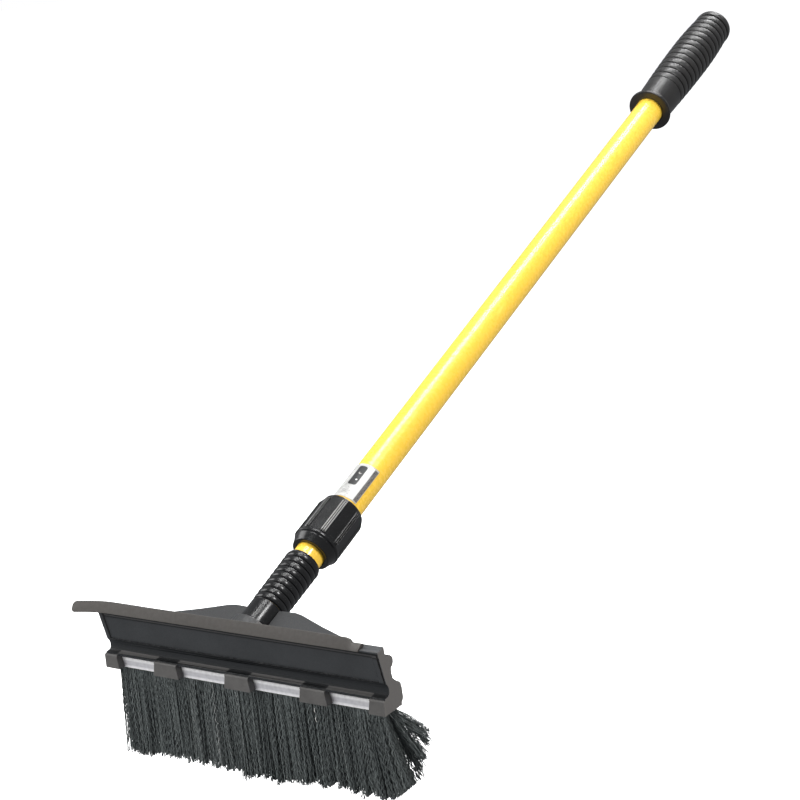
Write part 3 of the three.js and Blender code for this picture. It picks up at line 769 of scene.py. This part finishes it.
def make_blade():
    """The rubber blade leans back, and its free end droops a little."""
    left, right, root_left = -157.5, 114.2, -118.0
    foot, tip, notch = 35.6, 4.6, 12.0
    corners = [(-0.8, foot), (4.9, 35.65), (4.9, 37.4), (4.3, 41.2), (2.4, 42.2), (-2.6, 34.8), (-0.8, 34.4)]
    section = filleted([*corners, corners[0]], 0.4)[:-1]
    middle = Vector((0.6, 38.4))
    xs = [left + tip * (1 - math.cos(0.5 * math.pi * i / 9)) for i in range(10)]
    xs += list(np.linspace(left + tip + 1.5, right - 16, 60))
    xs += [right - back for back in (14, notch, 9, 7.5, 6, 3, 0)]
    verts, faces = [], []
    for x in xs:
        droop = 3.6 * max(0.0, (root_left - x) / (root_left - left)) ** 1.5
        full = 1.0
        if x < left + tip:
            full = max(0.12, math.sqrt(max(0.0, 1 - ((left + tip - x) / tip) ** 2)))
        top = 43.0
        if x > right - notch:
            top = max(38.0, 42.2 - 4.2 * ((x - right + notch) / 4.5) ** 2)
        wave = 0.2 * math.sin(x * 0.045) + 0.12 * math.sin(x * 0.11 + 1.0)
        for corner in section:
            y, z = middle + (Vector(corner) - middle) * full
            verts.append(head_point(x, y + wave * (z - foot) / 6.5, min(z, top) - droop))
    n = len(section)
    for i in range(len(xs) - 1):
        for k in range(n):
            k2 = (k + 1) % n
            faces.append((i * n + k, i * n + k2, (i + 1) * n + k2, (i + 1) * n + k))
    faces.append(tuple(range(n)))
    faces.append(tuple((len(xs) - 1) * n + k for k in range(n)))
    obj = new_object("squeegee_blade_skin", verts, faces, BLADE, smooth_below=40)
    outward(obj)
    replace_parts(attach(obj, "brush"), "squeegee_blade")


# ---- Bristles ----------------------------------------------------------------------------------

FILAMENTS = 4500
RIGHT_FILAMENTS = 420  # more of them at the worn right end
LEFT_FILAMENTS = 110
FILAMENT_R = 0.31
PIECES = 7
STEPS = 42
ROOT_HALF = 123.5
ROOT_Z = -7.5
CLUMP_PITCH = 4.6
TIP_LINE = ([-140, -125, -100, -38, -5, 30, 60, 105, 125, 138, 150],
            [-84, -80.5, -77.5, -77, -79, -76.5, -74, -75, -72, -62, -55])

# Tip (x, y, z), the number of filaments, and how early they leave the strip (less is earlier).
SWEPT_TUFTS = [
    (146.5, 17.0, -27.0, 60, 0.85),
    (144.0, 19.0, -35.0, 60, 0.85),
    (142.5, 15.0, -44.0, 70, 0.9),
    (138.0, 16.0, -52.0, 60, 1.0),
]


def filament_paths(rng):
    """Centre lines (count, steps, 3) in the head's frame, and each filament's tone."""
    count = FILAMENTS + RIGHT_FILAMENTS + LEFT_FILAMENTS
    x0 = rng.uniform(-ROOT_HALF, ROOT_HALF, count)
    x0[FILAMENTS:-LEFT_FILAMENTS] = rng.uniform(96.0, ROOT_HALF, RIGHT_FILAMENTS)
    x0[-LEFT_FILAMENTS:] = rng.uniform(-ROOT_HALF, -114.0, LEFT_FILAMENTS)
    y0 = rng.uniform(5.2, 9.9, count)
    side = (y0 - 7.5) / 2.4

    # Neighbours lean together in clumps, numbered from well left of the head.
    first = -200
    clump = np.floor((x0 - first) / CLUMP_PITCH + rng.normal(0, 0.22, count)).astype(int)
    clumps = clump.max() + 1
    clump_x = (np.arange(clumps) + 0.5) * CLUMP_PITCH + first + rng.normal(0, 0.8, clumps)
    clump_dz = rng.normal(0, 1.4, clumps)
    clump_dx = rng.normal(0, 1.1, clumps)
    clump_tone = rng.normal(0, 0.07, clumps)

    spread = np.where(x0 < 0, 126.0 / ROOT_HALF, 1.0 + 0.115 * np.clip(x0 / ROOT_HALF, 0, 1) ** 4)
    across = (x0 - clump_x[clump]) / (CLUMP_PITCH / 2)
    x1 = (x0 * 0.72 + clump_x[clump] * 0.28) * spread + clump_dx[clump] + rng.normal(0, 0.3, count)
    y1 = 9.0 + side * 8.2 + rng.normal(0, 0.9, count)
    z1 = np.interp(x1, *TIP_LINE) + clump_dz[clump] + 1.7 * np.clip(across, -1.4, 1.4) ** 2 - 0.6
    z1 += rng.normal(0, 0.3, count)

    t = np.linspace(0, 1, STEPS)[None, :]
    lean = np.broadcast_to(t**1.3, (count, STEPS)).copy()
    fall = np.broadcast_to(t, (count, STEPS)).copy()

    # Worn tufts at the right end sweep outward, each to its own point.
    near_end = rng.permutation(np.flatnonzero((x0 > 104.0) & (y0 > 6.4)))
    start = 0
    for tip_x, tip_y, tip_z, many, early in SWEPT_TUFTS:
        tuft = near_end[start:start + many]
        start += many
        x1[tuft] = tip_x + rng.normal(0, 1.5, many)
        y1[tuft] = tip_y + rng.normal(0, 1.5, many)
        z1[tuft] = tip_z + rng.normal(0, 2.6, many)
        lean[tuft] = t**early
        fall[tuft] = t ** (1.0 + 0.35 * (1 - early))

    x = x0[:, None] + (x1 - x0)[:, None] * lean
    y = y0[:, None] + (y1 - y0)[:, None] * lean
    z = ROOT_Z + (z1 - ROOT_Z)[:, None] * fall

    # The crimp is a wave in a plane of its own for each filament, and fades out at the root.
    phase = rng.uniform(0, 2 * math.pi, count)[:, None]
    wave_length = rng.normal(6.6, 0.4, count)[:, None]
    amplitude = rng.uniform(0.45, 0.85, count)[:, None] * np.clip(t * 5, 0, 1)
    heading = rng.uniform(0, 2 * math.pi, count)[:, None]
    crimp = amplitude * np.sin(2 * math.pi * z / wave_length + phase)
    bow = np.sin(math.pi * t)
    x = x + crimp * np.cos(heading) + rng.normal(0, 0.8, count)[:, None] * bow
    y = y + crimp * np.sin(heading) + rng.normal(0, 0.8, count)[:, None] * bow

    # The tone is painted darker toward the right end as painted shade; the rest of it differs at random.
    tone = 0.43 - 0.13 * np.clip(x0 / ROOT_HALF, 0, 1) ** 2
    tone = np.clip(tone + 0.11 * rng.normal(0, 1, count) + clump_tone[clump], 0.05, 0.85)
    return np.stack([x, y, z], axis=2), np.repeat(tone[:, None], STEPS, axis=1)


def filament_mesh(name, paths, tones):
    """Three-sided filaments, closed at both ends."""
    count = len(paths)
    angles = np.array([0, 2 * math.pi / 3, 4 * math.pi / 3])
    ring = np.stack([np.cos(angles), np.sin(angles), np.zeros(3)], axis=1) * FILAMENT_R
    points = paths[:, :, None, :] + ring[None, None, :, :]
    verts = points.reshape(-1, 3) * MM + np.array(HEAD_ORIGIN)[None, :]
    base = (np.arange(count) * STEPS * 3)[:, None, None]
    i = np.arange(STEPS - 1)[None, :, None] * 3
    k = np.arange(3)[None, None, :]
    a, b = base + i + k, base + i + (k + 1) % 3
    quads = np.stack([a, b, b + 3, a + 3], axis=3).reshape(-1, 4)
    start = base[:, :, 0]
    top = np.concatenate([start, start + 2, start + 1], axis=1)
    last = start + (STEPS - 1) * 3
    bottom = np.concatenate([last, last + 1, last + 2], axis=1)
    mesh = bpy.data.meshes.new(name)
    mesh.from_pydata(verts.tolist(), [], quads.tolist() + top.tolist() + bottom.tolist())
    mesh.shade_smooth()
    attribute = mesh.attributes.new("tone", "FLOAT", "POINT")
    attribute.data.foreach_set("value", np.repeat(tones.ravel(), 3).astype(np.float32))
    mesh.materials.append(BRISTLE)
    return linked(name, mesh)


def make_bristles():
    rng = np.random.default_rng(41)
    paths, tones = filament_paths(rng)
    stray = np.argmin(np.abs(paths[:, 0, 0] - 62) + np.abs(paths[:, -1, 1] + 0.5) * 2)
    tones[stray, 5:14] = 1.0  # one filament is worn white for part of its length
    order = np.argsort(paths[:, 0, 0])
    for i, chunk in enumerate(np.array_split(order, PIECES)):
        obj = filament_mesh(f"bristles_{i + 1}", paths[chunk], tones[chunk])
        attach(obj, "brush")
        if i == 0:
            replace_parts(obj, "bristles")


# ---- Head and small parts ----------------------------------------------------------------------


def repaint(node, material, bevel):
    obj = frame["nodes"][node]
    obj.data.materials.clear()
    obj.data.materials.append(material)
    softened(obj, bevel)


repaint("head_body", HEAD_PLASTIC, 0.3)
repaint("brush_channel", ZINC, 0.2)
for steel_node in ("channel_screw_1", "channel_screw_2", "channel_screw_3", "socket_screw_1",
                   "socket_screw_2", "core_wire", "collet_rivet_1", "collet_rivet_2"):
    repaint(steel_node, SCREW_STEEL, 0.12)
for nylon_node in ("tube_foot_plug", "guide_bush", "wedge_ring", "collet", "tube_end_plug"):
    repaint(nylon_node, NYLON, 0.15)
repaint("guide_ring", SEAL, 0.15)

make_tube("outer_tube_skin", OUTER_TUBE_R, *OUTER_TUBE, "handle", "outer_tube")
make_tube("inner_tube_skin", INNER_TUBE_R, *INNER_TUBE, "brush", "inner_tube")
make_sleeve()
make_socket()
make_collar()
make_label()
make_grip()
make_blade()
make_bristles()


# ---- Studio ------------------------------------------------------------------------------------


def make_camera():
    """The camera of the photo, fitted to the object's known points."""
    data = bpy.data.cameras.new("camera")
    data.lens = 81.0
    data.sensor_width = 36.0
    data.clip_start, data.clip_end = 0.05, 60.0
    camera = linked("camera", data)
    right = Vector((0.8022, 0.5796, -0.1435))
    up = Vector((-0.0381, 0.2895, 0.9564))
    turn = Matrix((right, up, right.cross(up))).transposed().to_4x4()
    camera.matrix_world = Matrix.Translation(head_point(831.8, -835.0, 487.8)) @ turn
    bpy.context.scene.camera = camera


def make_light(name, position, target, size, power, colour=(1, 1, 1), mirrored=True, diffuse=True):
    data = bpy.data.lights.new(name, "AREA")
    data.shape = "RECTANGLE"
    data.size, data.size_y = size
    data.energy = power
    data.color = colour
    lamp = linked(name, data)
    lamp.location = position
    lamp.rotation_mode = "QUATERNION"
    towards = (Vector(target) - Vector(position)).normalized()
    lamp.rotation_quaternion = towards.to_track_quat("-Z", "Y")
    lamp.visible_glossy = mirrored
    lamp.visible_diffuse = diffuse


def make_world():
    """White where the camera sees it, and a dim cool light everywhere else."""
    world = bpy.data.worlds.new("studio")
    bpy.context.scene.world = world
    world.use_nodes = True
    nodes, links = world.node_tree.nodes, world.node_tree.links
    nodes.clear()
    out = nodes.new("ShaderNodeOutputWorld")
    path = nodes.new("ShaderNodeLightPath")
    mix = nodes.new("ShaderNodeMixShader")
    links.new(path.outputs["Is Camera Ray"], mix.inputs[0])
    for slot, colour, strength in ((1, (0.93, 0.95, 1.0, 1), 0.27), (2, (1, 1, 1, 1), 1.0)):
        background = nodes.new("ShaderNodeBackground")
        background.inputs["Color"].default_value = colour
        background.inputs["Strength"].default_value = strength
        links.new(background.outputs[0], mix.inputs[slot])
    links.new(mix.outputs[0], out.inputs["Surface"])


def make_floor():
    size, low = 90.0, -0.78
    corners = [(-size, -size, low), (size, -size, low), (size, size, low), (-size, size, low)]
    p = Paint("studio_floor")
    p.set(
        Base_Color=p.mix(p.spread(p.noise(3, 3), 0, 1), (0.86, 0.86, 0.86), (0.9, 0.9, 0.9)),
        Roughness=0.9,
        Emission_Color=(1, 1, 1),
        Emission_Strength=0.9,
    )
    floor = new_object("studio_floor", corners, [(0, 1, 2, 3)], p.material)
    floor.visible_diffuse = False
    floor.visible_glossy = False


bpy.context.scene.view_settings.view_transform = "Standard"
bpy.context.scene.view_settings.look = "None"
make_camera()
make_world()
make_floor()

# The strip lights the tube from above, and the band is only its reflection. The glint is the highlight on
# the ridges of the collar.
above, over_head = (0.0, 0.35, 1.35), (0.0, 0.1, -0.1)
middle = (0, -0.4, -0.15)
make_light("strip", above, over_head, (0.26, 3.2), 33, mirrored=False)
make_light("band", above, over_head, (0.4, 3.2), 90, diffuse=False)
make_light("glint", (0.666, -0.408, 0.803), (0.0, -0.69, -0.275), (0.2, 0.2), 5, diffuse=False)
make_light("key", (-1.3, -1.5, 1.3), middle, (1.0, 1.0), 28, mirrored=False)
make_light("left", (-1.9, -0.9, 0.9), middle, (0.9, 1.8), 20)
make_light("top", (-0.9, 0.6, 1.6), middle, (1.6, 1.6), 15, mirrored=False)
make_light("front", (-0.6, -2.4, 0.2), (0, -0.75, -0.3), (1.2, 1.2), 27, mirrored=False)
make_light("side", (3.0, 0.2, 0.8), (0, -0.35, -0.15), (1.2, 1.2), 88, (1.0, 0.97, 0.94), mirrored=False)
